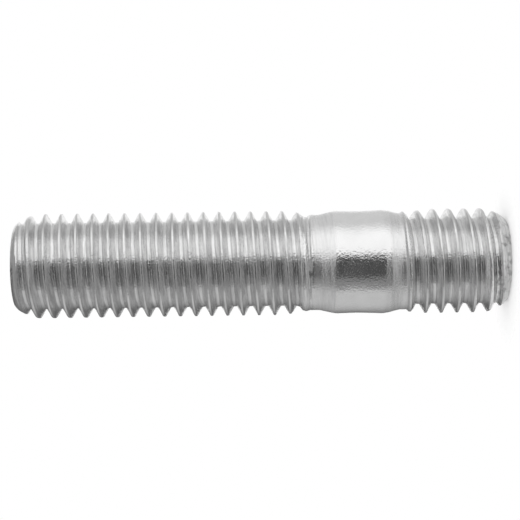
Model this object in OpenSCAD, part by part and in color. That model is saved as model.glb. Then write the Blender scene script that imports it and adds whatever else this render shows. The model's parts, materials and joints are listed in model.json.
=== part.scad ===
// Double-ended stud: a long thread for a nut, a short thread for a tapped hole,
// and a plain collar with a neck on each side between them. One piece of steel.
// It stands on the end face of the short thread, with its axis along +Z.

/* [Threads] */
// Diameter over the crests of both threads
major_d = 9.95; // [8:0.05:12]
// Distance from one crest to the next
pitch = 1.5; // [1:0.05:1.75]
// Straight steps in one turn of a thread
turn_steps = 32; // [24:4:36]

/* [Long thread, for the nut] */
// Length of the long thread, with its end bevel
nut_thread_len = 28; // [18:0.2:36]
// Length over which its last turns fade into the neck
nut_runout_len = 1.5; // [0.5:0.1:3]
// Turn of its crests about the axis, as a share of one turn
nut_turn_share = 0.94; // [0:0.01:0.99]

/* [Short thread, for the tapped hole] */
// Length of the short thread, with its end bevel
tap_thread_len = 9.7; // [8:0.1:20]
// Length over which its last turns fade into the neck
tap_runout_len = 0.5; // [0.5:0.1:3]
// Turn of its crests about the axis, as a share of one turn
tap_turn_share = 0.65; // [0:0.01:0.99]

/* [Thread ends] */
// How much wider than the roots each thread starts, behind its end bevel
rim_extra = 0.24; // [0.1:0.02:0.4]
// Height and width of the bevel round each end face
bevel_h = 0.3; // [0.2:0.05:0.6]
// Length over which the first turns rise to their full height
lead_len = 3; // [1.5:0.1:4]

/* [Plain middle] */
// How much thinner than the threads the collar is
collar_drop = 0.25; // [0.1:0.05:0.4]
// Length of the collar
collar_len = 5.35; // [3:0.05:12]
// How much thinner than the threads the neck beside the long thread is
nut_neck_drop = 0.85; // [0.5:0.05:1]
// Length of that neck
nut_neck_len = 0.9; // [0.5:0.1:4]
// Length of the taper from that neck up to the collar
nut_taper_len = 1.3; // [0.5:0.1:3]
// How much thinner than the threads the neck beside the short thread is
tap_neck_drop = 0.75; // [0.5:0.05:1]
// Length of that neck
tap_neck_len = 0.65; // [0.3:0.05:4]
// Length of the taper from that neck up to the collar
tap_taper_len = 0.85; // [0.5:0.05:3]

/* [Hidden] */
$fn = 96;
// A thread's end rings stay this far inside the round edges that they meet.
lip = 0.02;
// The core bar runs inside both threads, this deep under their roots.
core_cover = 0.4;
// The form of a metric thread: the angle between its flanks and, as shares of the
// pitch, the flat of its crests and the radius of its rolled roots
flank_angle = 60;
crest_share = 1 / 8;
root_round_share = 0.17;
// A thread line starts this share of one step's rise past the end of its thread.
start_share = 0.2;
// Turns of lines counted from below the end face, so that none is missed.
turns_below = 2;

crest_w = crest_share * pitch;
root_round = root_round_share * pitch;
// Depth of the bare V between two crests, which the round root doesn't reach
v_depth = (pitch - crest_w) / 2 / tan(flank_angle / 2);
thread_depth = v_depth - root_round * (1 / sin(flank_angle / 2) - 1);
major_r = major_d / 2;
root_r = major_r - thread_depth;
rim_r = root_r + rim_extra / 2;
face_r = rim_r - bevel_h;
collar_r = (major_d - collar_drop) / 2;
nut_neck_r = (major_d - nut_neck_drop) / 2;
tap_neck_r = (major_d - tap_neck_drop) / 2;

tap_neck_z = tap_thread_len;
tap_taper_z = tap_neck_z + tap_neck_len;
collar_z = tap_taper_z + tap_taper_len;
nut_taper_z = collar_z + collar_len;
nut_neck_z = nut_taper_z + nut_taper_len;
nut_thread_z = nut_neck_z + nut_neck_len;
stud_len = nut_thread_z + nut_thread_len;

// Five lines wind along the thread: the upper edge of a crest, the round root's first
// edge, its bottom and its second edge, and the lower edge of the next crest.
step_rise = pitch / turn_steps;
round_w = root_round * cos(flank_angle / 2);
round_h = root_round * (1 - sin(flank_angle / 2));
line_rise = [crest_w / 2, pitch / 2 - round_w, pitch / 2, pitch / 2 + round_w, pitch - crest_w / 2];
line_r = [major_r, root_r + round_h, root_r, root_r + round_h, major_r];
LINES = len(line_r);

// Height of line n at a step round the axis. Lines are numbered from below the end face up.
function line_z(n, step, turn_share) =
    line_rise[n % LINES] + pitch * (floor(n / LINES) - turns_below + turn_share) + step * step_rise;

// The first turns are lower: their height follows a parabola up from the rim.
function lead_r(z) =
    let (t = min(1, (z - bevel_h) / lead_len))
    rim_r + (major_r - rim_r) * (1 - (1 - t) * (1 - t));

// The last turns fade towards the ring that meets the neck.
function thread_r(n, z, thread_len, runout_len, neck_ring_r) =
    let (full_r = min(line_r[n % LINES], lead_r(z)))
    neck_ring_r + (full_r - neck_ring_r) * min(1, (thread_len - z) / runout_len);

function at(r, step, z) = [r * cos(360 * step / turn_steps), r * sin(360 * step / turn_steps), z];
function last(list) = list[len(list) - 1];

// A rolled right-hand thread: its free end at z = bevel_h, its neck at z = thread_len.
// A line enters at the free end and leaves at the neck as it rises, so each step
// has its own run of lines, between one point on each end ring.
module thread(thread_len, runout_len, turn_share, neck_r) {
    low = bevel_h;
    margin = start_share * step_rise;
    low_ring_r = rim_r - lip;
    neck_ring_r = neck_r - lip;
    line_count = LINES * (ceil(thread_len / pitch) + turns_below + 1);

    runs = [for (step = [0:turn_steps]) [for (n = [0:line_count])
        let (z = line_z(n, step, turn_share))
        if (z > low + margin && z < thread_len - margin) n]];
    starts = [for (step = 0, sum = 0; step <= turn_steps;
        sum = sum + len(runs[step]) + 2, step = step + 1) sum];

    points = [for (step = [0:turn_steps - 1]) each concat(
        [at(low_ring_r, step, low)],
        [for (n = runs[step])
            let (z = line_z(n, step, turn_share))
            at(thread_r(n, z, thread_len, runout_len, neck_ring_r), step, z)],
        [at(neck_ring_r, step, thread_len)])];

    // After a full turn, a line takes the number that is one thread higher.
    function on_line(step, n) =
        step < turn_steps ? starts[step] + 1 + n - runs[step][0] : on_line(0, n + LINES);
    function on_low(step) = starts[step % turn_steps];
    function on_neck(step) = starts[step % turn_steps] + 1 + len(runs[step % turn_steps]);

    faces = [for (step = [0:turn_steps - 1])
        let (next = step + 1,
             first = runs[step][0], next_first = runs[next][0],
             end = last(runs[step]), next_end = last(runs[next]))
        each concat(
            [[on_line(next, next_first), on_low(next), on_low(step)]],
            [for (n = [next_first:1:first - 1]) [on_line(next, n + 1), on_line(next, n), on_low(step)]],
            [[on_line(step, first), on_line(next, first), on_low(step)]],
            [for (n = [first:1:next_end - 1]) each [
                [on_line(next, n + 1), on_line(next, n), on_line(step, n)],
                [on_line(step, n + 1), on_line(next, n + 1), on_line(step, n)]]],
            [[on_neck(next), on_line(next, next_end), on_line(step, next_end)]],
            [for (n = [next_end:1:end - 1]) [on_line(step, n + 1), on_neck(next), on_line(step, n)]],
            [[on_neck(step), on_neck(next), on_line(step, end)]])];
    low_cap = [for (step = [0:turn_steps - 1]) on_low(step)];
    neck_cap = [for (step = [turn_steps - 1:-1:0]) on_neck(step)];

    polyhedron(points, concat(faces, [low_cap, neck_cap]), convexity = 10);
}

// The turned bar: a core inside each thread, two bevelled ends, necks, tapers and collar.
module bar() {
    core_r = root_r - core_cover;
    rotate_extrude()
        polygon([
            [0, 0],
            [face_r, 0],
            [rim_r, bevel_h],
            [core_r, bevel_h],
            [core_r, tap_neck_z],
            [tap_neck_r, tap_neck_z],
            [tap_neck_r, tap_taper_z],
            [collar_r, collar_z],
            [collar_r, nut_taper_z],
            [nut_neck_r, nut_neck_z],
            [nut_neck_r, nut_thread_z],
            [core_r, nut_thread_z],
            [core_r, stud_len - bevel_h],
            [rim_r, stud_len - bevel_h],
            [face_r, stud_len],
            [0, stud_len]]);
}

module stud() {
    color("silver") union() {
        bar();
        thread(tap_thread_len, tap_runout_len, tap_turn_share, tap_neck_r);
        translate([0, 0, stud_len]) rotate([180, 0, 0])
            thread(nut_thread_len, nut_runout_len, nut_turn_share, nut_neck_r);
    }
}

stud();
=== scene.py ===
# %% [markdown]
# # A double-ended stud
# This notebook dresses one steel stud: a long thread for a nut, a short thread for a tapped hole,
# and a plain collar between them. The solid is already right in size. What it lacks is the look of a
# rolled and plated part: soft crests, roots with soft corners, and a bright, slightly grainy zinc
# finish. The stud stands on the end face of its short thread, with +Z along its axis.

# %% Load the frame
import json
import math

import bmesh
import bpy
from mathutils import Matrix, Vector


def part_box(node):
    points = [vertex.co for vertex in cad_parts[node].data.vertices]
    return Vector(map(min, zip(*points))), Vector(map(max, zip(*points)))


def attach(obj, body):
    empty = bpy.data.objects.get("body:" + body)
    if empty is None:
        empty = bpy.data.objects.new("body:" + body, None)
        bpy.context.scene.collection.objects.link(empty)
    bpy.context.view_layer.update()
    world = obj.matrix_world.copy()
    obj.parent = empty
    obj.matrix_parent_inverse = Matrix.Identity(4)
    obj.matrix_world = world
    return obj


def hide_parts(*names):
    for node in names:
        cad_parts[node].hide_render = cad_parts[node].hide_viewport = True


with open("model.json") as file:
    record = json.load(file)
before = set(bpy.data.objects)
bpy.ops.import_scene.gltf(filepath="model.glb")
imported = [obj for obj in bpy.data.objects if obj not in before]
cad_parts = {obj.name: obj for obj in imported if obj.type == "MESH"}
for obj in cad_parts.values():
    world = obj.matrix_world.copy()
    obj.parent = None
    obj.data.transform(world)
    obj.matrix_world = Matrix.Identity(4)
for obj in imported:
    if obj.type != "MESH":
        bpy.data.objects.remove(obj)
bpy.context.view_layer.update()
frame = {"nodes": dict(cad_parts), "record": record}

MM = 0.001

# %% [markdown]
# ## Sizes
# Lengths that the frame knows are read from it: the stud's box gives its length and its outside
# radius, and the mounts give the collar and both threads. The few that are left are named here.

# %% Sizes from the frame
mounts = {mount["name"]: mount for mount in frame["record"]["mounts"]}
stud_low, stud_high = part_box("stud")
STUD_LEN = stud_high.z
MAJOR_R = stud_high.x
COLLAR_R = mounts["collar"]["dims"]["r_mm"] * MM
COLLAR_LEN = mounts["collar"]["dims"]["length_mm"] * MM
COLLAR_LOW = mounts["collar"]["pos_m"][2] - COLLAR_LEN / 2
COLLAR_HIGH = COLLAR_LOW + COLLAR_LEN
TAP_THREAD_HIGH = 2 * mounts["tap_thread"]["pos_m"][2]
NUT_THREAD_LOW = 2 * mounts["nut_thread"]["pos_m"][2] - STUD_LEN
print("stud", round(STUD_LEN / MM, 2), "mm long, collar", round(COLLAR_LOW / MM, 2), "to",
      round(COLLAR_HIGH / MM, 2), "mm, long thread from", round(NUT_THREAD_LOW / MM, 2), "mm")

# %% Sizes of the thread form
PITCH = 1.5 * MM
CREST_W = PITCH / 8
# The solid's root has a round of this size. The root here is as deep, and as wide as the V is there.
ROOT_ROUND = 0.17 * PITCH
FLANK_HALF = math.radians(30)
V_DEPTH = (PITCH - CREST_W) / 2 / math.tan(FLANK_HALF)
ROOT_R = MAJOR_R - V_DEPTH + ROOT_ROUND * (1 / math.sin(FLANK_HALF) - 1)
ROOT_W = 2 * (ROOT_R - MAJOR_R + V_DEPTH) * math.tan(FLANK_HALF)
print("thread depth", round((MAJOR_R - ROOT_R) / MM, 3), "mm")

# %% Sizes of the necks and the ends
NUT_NECK_R = MAJOR_R - 0.425 * MM
TAP_NECK_R = MAJOR_R - 0.375 * MM
NUT_NECK_LOW = NUT_THREAD_LOW - 0.9 * MM
TAP_NECK_HIGH = TAP_THREAD_HIGH + 0.65 * MM
RIM_R = ROOT_R + 0.12 * MM
BEVEL_H = 0.3 * MM
FACE_R = RIM_R - BEVEL_H
LEAD_LEN = 2.6 * MM
print("end face", round(2 * FACE_R / MM, 2), "mm across, necks", round(2 * NUT_NECK_R / MM, 2), "and",
      round(2 * TAP_NECK_R / MM, 2), "mm")

# %% [markdown]
# ## Camera
# The photograph shows the stud lying down, long thread to the left. Here it stands, so the camera
# looks along +Y and is rolled by a quarter turn: the picture's left is +Z and its top is +X.
# The lens is close, so the far turns of the thread lean away from the middle on both sides.

# %% Place the camera
CAM_DISTANCE = 142 * MM
CAM_HEIGHT = 24.5 * MM
AIM = Vector((0.31 * MM, 0, 23.46 * MM))
CAM_TWIST = math.radians(-0.8)
PIXELS_PER_MM = 10.46
PICTURE_W = 520

camera_data = bpy.data.cameras.new("camera")
camera = bpy.data.objects.new("camera", camera_data)
bpy.context.scene.collection.objects.link(camera)
bpy.context.scene.camera = camera
camera_data.lens = PIXELS_PER_MM * (CAM_DISTANCE / MM) / PICTURE_W * camera_data.sensor_width
camera_data.clip_start = 10 * MM
camera_spot = Vector((0, -CAM_DISTANCE, CAM_HEIGHT))
back = (camera_spot - AIM).normalized()
picture_up = Vector((1, 0, 0))
picture_right = picture_up.cross(back).normalized()
picture_up = back.cross(picture_right)
turn = Matrix((picture_right, picture_up, back)).transposed().to_4x4()
camera.matrix_world = Matrix.Translation(camera_spot) @ turn @ Matrix.Rotation(CAM_TWIST, 4, "Z")
print("lens", round(camera_data.lens, 1), "mm, camera at", [round(v / MM, 1) for v in camera_spot])

# %% [markdown]
# ## One thread
# A rolled thread is one profile that climbs round the bar. It could be a stack of rings, but rings
# have no lead, and a nut would never turn on them. The Screw modifier makes a helix too, but it can't
# fade out at a neck. So the profile of each pitch is drawn as a wire, its corners are rounded with a
# vertex bevel, and one turn of `spin` with a rise of one pitch joins every pitch to the next.
# The root is as deep as a round root would be, but it has a narrow flat bottom with soft corners. The
# flat catches the light as one line in each groove, and that line is what the eye reads as depth.

# %% Draw the profile of one pitch
CREST_ROUND = 0.035 * MM
CREST_SEGMENTS = 2
ROOT_CORNER = 0.07 * MM
ROOT_SEGMENTS = 3
FLANK_CUTS = 3
TINY = 0.001 * MM


def draw_pitch(bm, bottom):
    """A wire from the middle of one crest down into the root and up to the next crest."""
    corners = [(MAJOR_R, 0), (MAJOR_R, CREST_W / 2), (ROOT_R, (PITCH - ROOT_W) / 2),
               (ROOT_R, (PITCH + ROOT_W) / 2), (MAJOR_R, PITCH - CREST_W / 2), (MAJOR_R, PITCH)]
    wire = [bm.verts.new((r, 0, bottom + z)) for r, z in corners]
    for pair in zip(wire, wire[1:]):
        bm.edges.new(pair)
    for corner, offset, segments in ((wire[2], ROOT_CORNER, ROOT_SEGMENTS),
                                     (wire[3], ROOT_CORNER, ROOT_SEGMENTS),
                                     (wire[1], CREST_ROUND, CREST_SEGMENTS),
                                     (wire[4], CREST_ROUND, CREST_SEGMENTS)):
        bmesh.ops.bevel(bm, geom=[corner], affect="VERTICES", offset_type="OFFSET",
                        offset=offset, segments=segments, profile=0.5, material=-1)


# %% Find where the solid's crests cross +X
def crest_height(low, high):
    """The middle height of the first full crest that the solid has on its +X side."""
    edges = sorted({round(v.co.z / TINY) * TINY for v in frame["nodes"]["stud"].data.vertices
                    if abs(v.co.y) < TINY and v.co.x > MAJOR_R - TINY and low < v.co.z < high})
    first = next(i for i, z in enumerate(edges) if edges[i + 1] - z < PITCH / 2)
    return (edges[first] + edges[first + 1]) / 2


tap_crest = crest_height(0, TAP_THREAD_HIGH)
nut_crest = crest_height(NUT_THREAD_LOW, STUD_LEN)
print("a crest of the short thread at", round(tap_crest / MM, 3), "mm, of the long one at",
      round(nut_crest / MM, 3), "mm")

# %% [markdown]
# ## Shaping the thread
# The first turns of a real stud are lower, because the blank is tapered before it is rolled. At the
# neck the rollers leave the bar within about a turn: the groove ends first, and the steel that it
# pushed up stands a little longer as a lip. Both are moves of the swept points, in and out from the
# axis. The ends are then cut flat with `bisect_plane`, and the cut's odd points are welded to the
# nearest step of the sweep, so that the ring fits the turned parts.

# %% Helpers that move points in and out
LEAD_BLEND = 0.06 * MM


def smooth_share(value, low, high):
    """0 below low, 1 above high, and a soft rise between them."""
    share = min(1, max(0, (value - low) / (high - low)))
    return share * share * (3 - 2 * share)


def soft_min(a, b, blend):
    """The smaller of two lengths, with the corner between them rounded off."""
    near = max(0, blend - abs(a - b)) / blend
    return min(a, b) - near * near * blend / 4


def lead_radius(height):
    """How far out the thread may stand at a height above the end face: a bevel, then a curve."""
    if height < BEVEL_H:
        return FACE_R + height
    share = min(1, (height - BEVEL_H) / LEAD_LEN)
    return RIM_R + (MAJOR_R + LEAD_BLEND - RIM_R) * (1 - (1 - share) ** 2)


def fade(distance, steps):
    """How much of the thread is left at a distance from its neck. Each step adds its share softly."""
    return sum(share * smooth_share(distance, low, high) for share, low, high in steps)


def set_radius(vert, radius):
    scale = radius / math.hypot(vert.co.x, vert.co.y)
    vert.co.x *= scale
    vert.co.y *= scale


# %% Sweep the thread
TURN_STEPS = 96


def sweep(low, high, crest_z):
    """A full thread from below low to above high, with crests at crest_z on the +X side."""
    bm = bmesh.new()
    pitches = range(math.floor((low - crest_z) / PITCH) - 1, math.ceil((high - crest_z) / PITCH) + 1)
    for n in pitches:
        draw_pitch(bm, crest_z + n * PITCH)
    bmesh.ops.remove_doubles(bm, verts=bm.verts[:], dist=TINY)
    flanks = [edge for edge in bm.edges if edge.calc_length() > PITCH / 4]
    bmesh.ops.subdivide_edges(bm, edges=flanks, cuts=FLANK_CUTS)
    bmesh.ops.spin(bm, geom=bm.verts[:] + bm.edges[:], cent=(0, 0, 0), axis=(0, 0, 1), angle=math.tau,
                   dvec=(0, 0, PITCH / TURN_STEPS), steps=TURN_STEPS, use_merge=False)
    bmesh.ops.remove_doubles(bm, verts=bm.verts[:], dist=TINY)
    return bm


# %% Cut a thread to length
ON_SPOKE = 0.001


def cut_flat(bm, height, keep_above):
    bmesh.ops.bisect_plane(bm, geom=bm.verts[:] + bm.edges[:] + bm.faces[:], dist=TINY / 10,
                           plane_co=(0, 0, height), plane_no=(0, 0, 1),
                           clear_inner=keep_above, clear_outer=not keep_above)


def even_ring(bm, height, radius):
    """Weld the ring at a height to one point for each step of the sweep, at one radius."""
    ring = [v for v in bm.verts if v.is_boundary and abs(v.co.z - height) < TINY]
    steps = {v: math.atan2(v.co.y, v.co.x) / math.tau * TURN_STEPS for v in ring}
    spokes = {round(step) % TURN_STEPS: v for v, step in steps.items()
              if abs(step - round(step)) < ON_SPOKE}
    bmesh.ops.weld_verts(bm, targetmap={v: spokes[round(step) % TURN_STEPS] for v, step in steps.items()
                                        if v not in spokes.values()})
    for vert in spokes.values():
        set_radius(vert, radius)
    return len(spokes)


# %% Make both threads
CAP_H = 0.1 * MM
PLAIN_NECK = 0.15 * MM
TAP_GROOVE = [(1, 0, 0.45 * MM)]
TAP_LIP = [(0.6, -0.45 * MM, -0.05 * MM), (0.4, 0.9 * MM, 2.2 * MM)]
NUT_GROOVE = [(0.4, -0.05 * MM, 0.12 * MM), (0.6, 0.5 * MM, 1.4 * MM)]
NUT_LIP = [(0.2, -0.4 * MM, -0.05 * MM), (0.5, 0.6 * MM, 1.3 * MM), (0.3, 1.5 * MM, 2.8 * MM)]


def make_thread(face_z, neck_z, plain_z, crest_z, neck_r, groove, lip):
    """A thread from just inside its end face to the plain part of its neck, open at both ends."""
    inward = 1 if face_z > neck_z else -1
    cap_z = face_z - inward * CAP_H
    low, high = sorted((cap_z, plain_z))
    bm = sweep(low, high, crest_z)
    for vert in bm.verts:
        radius = math.hypot(vert.co.x, vert.co.y)
        radius = soft_min(radius, lead_radius(abs(vert.co.z - face_z)), LEAD_BLEND)
        into = (vert.co.z - neck_z) * inward
        if into < LEAD_LEN:
            radius = neck_r + (radius - neck_r) * fade(into, lip if radius > neck_r else groove)
        set_radius(vert, radius)
    cut_flat(bm, low, True)
    cut_flat(bm, high, False)
    rings = even_ring(bm, cap_z, FACE_R + CAP_H), even_ring(bm, plain_z, neck_r)
    print("thread", len(bm.faces), "faces, rings of", rings, "points")
    return bm


tap_thread = make_thread(0, TAP_THREAD_HIGH, TAP_NECK_HIGH - PLAIN_NECK, tap_crest, TAP_NECK_R,
                         TAP_GROOVE, TAP_LIP)
nut_thread = make_thread(STUD_LEN, NUT_THREAD_LOW, NUT_NECK_LOW + PLAIN_NECK, nut_crest, NUT_NECK_R,
                         NUT_GROOVE, NUT_LIP)

# %% [markdown]
# ## The turned parts
# Necks, tapers, collar and both end faces are turned shapes, so each is a wire that is spun once round
# the axis. A vertex bevel on the wire rounds its corners before the spin: small on the end faces,
# larger where the tapers run into the collar, because rolling pushes the steel out there.

# %% Spin the collar, the necks and the end faces
NECK_ROUND = 0.12 * MM
RIDGE_ROUND = 0.18 * MM
COLLAR_ROUND = 0.5 * MM
FACE_ROUND = 0.07 * MM
CORNER_SEGMENTS = 5
TAP_RIDGE_H = 0.1 * MM
TAP_TAIL_H = TAP_RIDGE_H / 3
TAP_RIDGE_Z = COLLAR_LOW + 0.65 * MM
NUT_RIDGE_H = 0.05 * MM
NUT_RIDGE_Z = COLLAR_HIGH - 0.35 * MM
RIDGE_LEN = 1.3 * MM
BEND_H = 0.09 * MM
BEND_Z = 0.3 * MM
BEND_ROUND = 0.25 * MM


def spin_outline(points):
    """A turned shell from points of (radius, height, size of the round at that corner)."""
    bm = bmesh.new()
    wire = [bm.verts.new((r, 0, z)) for r, z, size in points]
    for pair in zip(wire, wire[1:]):
        bm.edges.new(pair)
    for vert, (r, z, size) in zip(wire, points):
        if size:
            bmesh.ops.bevel(bm, geom=[vert], affect="VERTICES", offset=size, offset_type="OFFSET",
                            segments=CORNER_SEGMENTS, profile=0.5, material=-1)
    bmesh.ops.spin(bm, geom=bm.verts[:] + bm.edges[:], cent=(0, 0, 0), axis=(0, 0, 1),
                   angle=math.tau, steps=TURN_STEPS, use_merge=True)
    bmesh.ops.remove_doubles(bm, verts=bm.verts[:], dist=TINY)
    return bm


def end_face(face_z, inward):
    return spin_outline([(0, face_z, 0), (FACE_R, face_z, FACE_ROUND),
                         (FACE_R + CAP_H, face_z + inward * CAP_H, 0)])


middle = spin_outline([(TAP_NECK_R, TAP_NECK_HIGH - PLAIN_NECK, 0),
                       (TAP_NECK_R + BEND_H, TAP_NECK_HIGH + BEND_Z, BEND_ROUND),
                       (COLLAR_R, COLLAR_LOW, NECK_ROUND),
                       (COLLAR_R + TAP_RIDGE_H, TAP_RIDGE_Z, RIDGE_ROUND),
                       (COLLAR_R + TAP_TAIL_H, TAP_RIDGE_Z + RIDGE_LEN, COLLAR_ROUND),
                       (COLLAR_R, (COLLAR_LOW + COLLAR_HIGH) / 2 + COLLAR_ROUND, COLLAR_ROUND),
                       (COLLAR_R + NUT_RIDGE_H, NUT_RIDGE_Z, RIDGE_ROUND),
                       (COLLAR_R, COLLAR_HIGH, RIDGE_ROUND),
                       (NUT_NECK_R, NUT_NECK_LOW, NECK_ROUND),
                       (NUT_NECK_R, NUT_NECK_LOW + PLAIN_NECK, 0)])
print("middle", len(middle.faces), "faces")


# %% Join the parts into one skin
def join(parts):
    """One closed bmesh from parts whose rings meet point on point."""
    whole = bmesh.new()
    for part in parts:
        mesh = bpy.data.meshes.new("part")
        part.to_mesh(mesh)
        part.free()
        whole.from_mesh(mesh)
        bpy.data.meshes.remove(mesh)
    bmesh.ops.remove_doubles(whole, verts=whole.verts[:], dist=TINY)
    bmesh.ops.recalc_face_normals(whole, faces=whole.faces[:])
    return whole


skin = join([end_face(0, 1), tap_thread, middle, nut_thread, end_face(STUD_LEN, -1)])
print("skin", len(skin.faces), "faces, open edges", len([e for e in skin.edges if e.is_boundary]),
      "volume", round(skin.calc_volume() / MM ** 3, 1), "mm3")

# %% [markdown]
# ## Zinc plating
# Bright zinc is a neutral grey metal. Rolling leaves fine marks that run round the thread, so a
# reflection there is smeared along the axis but not across it, and the marks are a little darker
# where they are deepest. The collar is burnished: its fine grain only breaks the edges of a
# reflection into speckles, and slow waves bend them. The tapers beside it stay duller, and the cut
# end faces have no marks. The foot is duller and speckled, and its colour is darkened there: that is
# painted shade, so that the white card which the foot mirrors shows dimmer. Marks, grain and waves
# are bumps from noise on Object coordinates, and for the marks the noise is stretched across the axis
# and sheared along the helix.

# %% Node helpers
def new_material(name):
    """A material, with the nodes and the links of its tree."""
    material = bpy.data.materials.new(name)
    material.use_nodes = True
    return material, material.node_tree.nodes, material.node_tree.links


def maths(nodes, links, operation, *values):
    """A Math node whose inputs are numbers or the outputs of other nodes."""
    node = nodes.new("ShaderNodeMath")
    node.operation = operation
    for socket, value in zip(node.inputs, values):
        if isinstance(value, (int, float)):
            socket.default_value = value
        else:
            links.new(value, socket)
    return node.outputs[0]


def ramp_between(nodes, links, value, low, high, from_level=0.0, to_level=1.0, smooth=False):
    """Takes the range low to high to the range from_level to to_level."""
    node = nodes.new("ShaderNodeMapRange")
    node.interpolation_type = "SMOOTHSTEP" if smooth else "LINEAR"
    numbers = {"From Min": low, "From Max": high, "To Min": from_level, "To Max": to_level}
    for name, number in numbers.items():
        node.inputs[name].default_value = number
    links.new(value, node.inputs["Value"])
    return node.outputs["Result"]


def noise_at(nodes, links, vector, size, detail, roughness):
    node = nodes.new("ShaderNodeTexNoise")
    node.inputs["Scale"].default_value = 1 / size
    node.inputs["Detail"].default_value = detail
    node.inputs["Roughness"].default_value = roughness
    links.new(vector, node.inputs["Vector"])
    return node.outputs["Fac"]


def object_place(nodes, links):
    """The Object coordinates as one vector, and then as x, y and z."""
    place = nodes.new("ShaderNodeTexCoord").outputs["Object"]
    parts = nodes.new("ShaderNodeSeparateXYZ")
    links.new(place, parts.inputs[0])
    return place, *parts.outputs


def angle_round(nodes, links, x, y):
    """Radians round the axis: 0 at the camera's side, a quarter turn at the top of the picture."""
    return maths(nodes, links, "ARCTAN2", x, maths(nodes, links, "MULTIPLY", y, -1))


# %% Where the finish changes
PLAIN_EDGE = 0.25 * MM
TAPER_LEN = 1.8 * MM
FOOT_HIGH = 3.2 * MM


def zinc_regions(nodes, links, z):
    """1 on the rolled steel, 1 on both tapers, and 1 at the foot, all with soft edges."""
    from_middle = maths(nodes, links, "SUBTRACT", z, (COLLAR_LOW + COLLAR_HIGH) / 2)
    past_collar = maths(nodes, links, "SUBTRACT", maths(nodes, links, "ABSOLUTE", from_middle),
                        COLLAR_LEN / 2)
    off_collar = ramp_between(nodes, links, past_collar, -PLAIN_EDGE, 0, smooth=True)
    from_half = maths(nodes, links, "ABSOLUTE", maths(nodes, links, "SUBTRACT", z, STUD_LEN / 2))
    off_faces = ramp_between(nodes, links, from_half, STUD_LEN / 2 - BEVEL_H,
                             STUD_LEN / 2 - FACE_ROUND, 1, 0)
    rolled = maths(nodes, links, "MULTIPLY", off_collar, off_faces)
    by_collar = ramp_between(nodes, links, past_collar, TAPER_LEN, TAPER_LEN + PLAIN_EDGE, 1, 0)
    taper = maths(nodes, links, "MULTIPLY", rolled, by_collar)
    # The foot's mask carries its rougher finish and its painted shade.
    near_foot = ramp_between(nodes, links, z, 0, FOOT_HIGH, 1, 0, smooth=True)
    return rolled, taper, near_foot


# %% Marks that climb with the thread
# A noise here is its size, its number of finer layers, and how strong those layers are.
MARK = (0.19 * MM, 3, 0.5)
MARK_STRETCH = 12


def rolling_marks(nodes, links, x, y, z):
    """Noise that is stretched across the axis and climbs one pitch in each turn."""
    turn = angle_round(nodes, links, x, y)
    along = nodes.new("ShaderNodeCombineXYZ")
    links.new(maths(nodes, links, "DIVIDE", x, MARK_STRETCH), along.inputs[0])
    links.new(maths(nodes, links, "DIVIDE", y, MARK_STRETCH), along.inputs[1])
    links.new(maths(nodes, links, "MULTIPLY_ADD", turn, -PITCH / math.tau, z), along.inputs[2])
    return noise_at(nodes, links, along.outputs[0], *MARK)


# %% The zinc material
GRAIN = (0.18 * MM, 2, 0.5)
WAVE = (1.6 * MM, 1, 0.5)
CLOUD = (2.5 * MM, 4, 0.6)
SPECK = (0.6 * MM, 4, 0.7)
MARK_DEPTH = GRAIN_DEPTH = WAVE_DEPTH = 0.03 * MM
CLOUD_RANGE = (0.3, 0.7)
ROUGH_RANGE = (0.1, 0.2)
TONE_RANGE = (0.78, 0.86)
STREAK_RANGE = (0.35, 0.6)
STREAK_DARK = 0.23
SPECK_RANGE = (0.5, 0.62)
SPECK_DARK = 0.3
# Painted shade: how much darker the colour is at the foot, so that the white card it mirrors shows
# dimmer there.
FOOT_PAINTED_SHADE = 0.2
FOOT_ROUGH = 0.06
TAPER_ROUGH = 0.14
TAPER_STREAKS = 0.6


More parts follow.
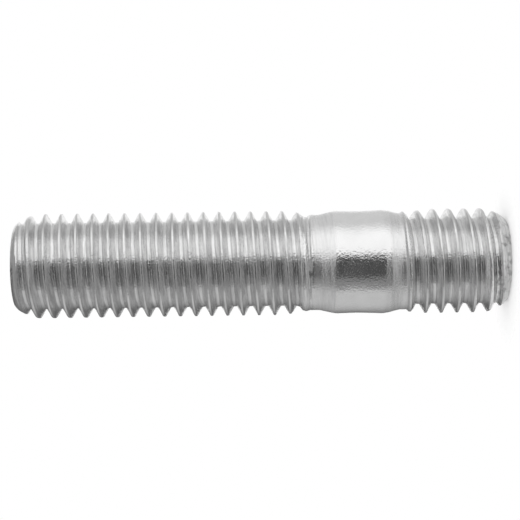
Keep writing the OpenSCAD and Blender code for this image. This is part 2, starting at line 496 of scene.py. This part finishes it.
def zinc_plating():
    material, nodes, links = new_material("bright_zinc")
    shader = nodes["Principled BSDF"]
    shader.inputs["Metallic"].default_value = 1
    place, x, y, z = object_place(nodes, links)
    rolled, taper, near_foot = zinc_regions(nodes, links, z)
    marks = rolling_marks(nodes, links, x, y, z)
    cloud, grain, waves, speckles = [noise_at(nodes, links, place, *noise)
                                     for noise in (CLOUD, GRAIN, WAVE, SPECK)]

    uneven = ramp_between(nodes, links, cloud, *CLOUD_RANGE, *ROUGH_RANGE)
    duller = maths(nodes, links, "MULTIPLY_ADD", taper, TAPER_ROUGH, uneven)
    roughness = maths(nodes, links, "MULTIPLY_ADD", near_foot, FOOT_ROUGH, duller)
    links.new(roughness, shader.inputs["Roughness"])

    # Near the foot the colour is darkened as painted shade, with the foot's dark specks on top of it.
    foot_shade_and_specks = ramp_between(nodes, links, speckles, *SPECK_RANGE,
                          FOOT_PAINTED_SHADE, FOOT_PAINTED_SHADE + SPECK_DARK, smooth=True)
    streaks = ramp_between(nodes, links, marks, *STREAK_RANGE, STREAK_DARK, 0)
    streaked = maths(nodes, links, "MULTIPLY_ADD", taper, -TAPER_STREAKS, rolled)
    loss = maths(nodes, links, "MULTIPLY_ADD", streaks, streaked,
                 maths(nodes, links, "MULTIPLY", foot_shade_and_specks, near_foot))
    tone = maths(nodes, links, "MULTIPLY", ramp_between(nodes, links, cloud, *CLOUD_RANGE, *TONE_RANGE),
                 maths(nodes, links, "SUBTRACT", 1, loss))
    colour = nodes.new("ShaderNodeCombineColor")
    for socket in colour.inputs[:3]:
        links.new(tone, socket)
    links.new(colour.outputs["Color"], shader.inputs["Base Color"])

    marked = maths(nodes, links, "MULTIPLY", maths(nodes, links, "MULTIPLY", marks, MARK_DEPTH), rolled)
    grained = maths(nodes, links, "MULTIPLY_ADD", grain, GRAIN_DEPTH, marked)
    height = maths(nodes, links, "MULTIPLY_ADD", waves, WAVE_DEPTH, grained)
    bump = nodes.new("ShaderNodeBump")
    bump.inputs["Distance"].default_value = 1
    links.new(height, bump.inputs["Height"])
    links.new(bump.outputs["Normal"], shader.inputs["Normal"])
    return material


zinc = zinc_plating()
print("material", zinc.name, "with", len(zinc.node_tree.nodes), "nodes")

# %% Make the stud
SHARP_ANGLE = math.radians(40)


def make_piece(name, bm, material):
    """An object at the origin of the scene, from a finished bmesh."""
    mesh = bpy.data.meshes.new(name)
    bm.to_mesh(mesh)
    bm.free()
    mesh.materials.append(material)
    piece = bpy.data.objects.new(name, mesh)
    bpy.context.scene.collection.objects.link(piece)
    return piece


stud = make_piece("rolled_stud", skin, zinc)
stud.data.polygons.foreach_set("use_smooth", [True] * len(stud.data.polygons))
stud.data.set_sharp_from_angle(angle=SHARP_ANGLE)
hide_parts("stud")
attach(stud, "root")
print("stud", len(stud.data.polygons), "faces", len(stud.data.vertices), "points")

# %% [markdown]
# ## Floor and backdrop
# The stud stands on a round pale card in a plain white world. The world lights the card, and the stud
# keeps some of that light off it, which is the soft shadow round its foot. A little glow takes the
# rest of the card up to white. The camera and the metal see the same card and the same backdrop.

# %% The white world
def white_world():
    world = bpy.data.worlds.new("backdrop")
    bpy.context.scene.world = world
    world.use_nodes = True
    background = world.node_tree.nodes["Background"]
    background.inputs["Color"].default_value = (1, 1, 1, 1)
    background.inputs["Strength"].default_value = 1


white_world()

# %% The pale card
CARD_R = 8 * MM
CARD_TONE = 0.85
CARD_GLOW = 0.28
CIRCLE_STEPS = 96


def stage_piece(name, bm, material):
    piece = make_piece(name, bm, material)
    return piece


def pale_card():
    """A matt card that glows a little for the camera, for metal and for glass, but lights nothing."""
    material, nodes, links = new_material("pale_card")
    shader = nodes["Principled BSDF"]
    shader.inputs["Base Color"].default_value = (CARD_TONE, CARD_TONE, CARD_TONE, 1)
    shader.inputs["Roughness"].default_value = 1
    shader.inputs["Specular IOR Level"].default_value = 0
    shader.inputs["Emission Color"].default_value = (1, 1, 1, 1)
    path = nodes.new("ShaderNodeLightPath").outputs
    seen = maths(nodes, links, "MAXIMUM", path["Is Camera Ray"],
                 maths(nodes, links, "MAXIMUM", path["Is Glossy Ray"], path["Is Transmission Ray"]))
    links.new(maths(nodes, links, "MULTIPLY", seen, CARD_GLOW), shader.inputs["Emission Strength"])
    bm = bmesh.new()
    bmesh.ops.create_circle(bm, cap_ends=True, segments=CIRCLE_STEPS, radius=CARD_R)
    return stage_piece("pale_card", bm, material)


print("card", round(2 * CARD_R / MM), "mm across, on", len(pale_card().data.polygons), "face")

# %% [markdown]
# ## Light
# Polished metal shows what stands round it. In the photograph a long soft light hangs over the stud,
# the camera's side is dark, and the rest is grey. So a drum of grey cloth stands round the stud, with
# a soft light, a grey card and a smaller dark card hung in it. The drum is open behind the stud, and
# there the metal shows the same white backdrop that the camera sees. Angles go round the stud's axis:
# 0 is the camera's side and 90 is the picture's top. No camera sees the drum, so it blocks no view.

# %% Curved studio panels
DRUM_R = 0.5
DRUM_LEN = 1.3
GREY_CARD_R = 0.47
PANEL_R = 0.45
PANEL_STEP = 3
# A colour ramp runs once round from behind the stud, so the camera's side is in its middle.
RAMP_FRONT = 0.5
CLOTH = [(-170, 0.1), (-112, 0.6), (90, 0.7), (155, 0.7)]
CLOTH_END_SHARE = 0.52
SOFT_LIGHT = [(17, 1.1), (69, 1.1), (92, 0.7)]
SOFT_LIGHT_LEN = 1.1
GREY_CARD = [(-63, 0.25), (2, 0.25)]
GREY_CARD_LEN = 0.56
DARK_CARD = [(-37, 0.07), (14, 0.07)]
DARK_CARD_LEN = 0.22


def plain_glow(name, levels, length, end_share):
    """A level that changes evenly between the angles in the list, and towards both ends."""
    material, nodes, links = new_material(name)
    nodes.remove(nodes["Principled BSDF"])
    glow = nodes.new("ShaderNodeEmission")
    links.new(glow.outputs[0], nodes["Material Output"].inputs["Surface"])
    place, x, y, z = object_place(nodes, links)
    angle = angle_round(nodes, links, x, y)
    ramp = nodes.new("ShaderNodeValToRGB")
    links.new(maths(nodes, links, "MULTIPLY_ADD", angle, 1 / math.tau, RAMP_FRONT), ramp.inputs["Fac"])
    stops = ramp.color_ramp.elements
    while len(stops) < len(levels):
        stops.new(RAMP_FRONT)
    for stop, (degrees, level) in zip(stops, levels):
        stop.position = degrees / 360 + RAMP_FRONT
        stop.color = (level, level, level, 1)
    links.new(ramp.outputs["Color"], glow.inputs["Color"])
    away = maths(nodes, links, "ABSOLUTE", z)
    links.new(ramp_between(nodes, links, away, 0, length / 2, 1, end_share), glow.inputs["Strength"])
    return material


def studio_panel(name, levels, radius, length, end_share=1, lids=False):
    """A panel bent round the stud's axis, from the first to the last angle in its levels."""
    start, end = levels[0][0], levels[-1][0]
    bm = bmesh.new()
    start_point = Matrix.Rotation(math.radians(start), 3, "Z") @ Vector((0, -radius, 0))
    bm.edges.new([bm.verts.new(start_point + Vector((0, 0, side * length / 2))) for side in (-1, 1)])
    bmesh.ops.spin(bm, geom=bm.verts[:] + bm.edges[:], cent=(0, 0, 0), axis=(0, 0, 1), use_merge=False,
                   angle=math.radians(end - start), steps=round((end - start) / PANEL_STEP))
    for side in (-1, 1) if lids else ():
        bmesh.ops.create_circle(bm, cap_ends=True, segments=CIRCLE_STEPS, radius=radius,
                                matrix=Matrix.Translation((0, 0, side * length / 2)))
    panel = stage_piece(name, bm, plain_glow(name, levels, length, end_share))
    for ray in ("camera", "diffuse", "transmission", "volume_scatter", "shadow"):
        setattr(panel, "visible_" + ray, False)
    return panel


studio_panel("grey_cloth", CLOTH, DRUM_R, DRUM_LEN, CLOTH_END_SHARE, lids=True)
studio_panel("soft_light", SOFT_LIGHT, PANEL_R, SOFT_LIGHT_LEN)
studio_panel("grey_card", GREY_CARD, GREY_CARD_R, GREY_CARD_LEN)
studio_panel("dark_card", DARK_CARD, PANEL_R, DARK_CARD_LEN)
print("open behind the stud:", 360 - CLOTH[-1][0] + CLOTH[0][0], "degrees")

bpy.context.scene.view_settings.view_transform = "Standard"
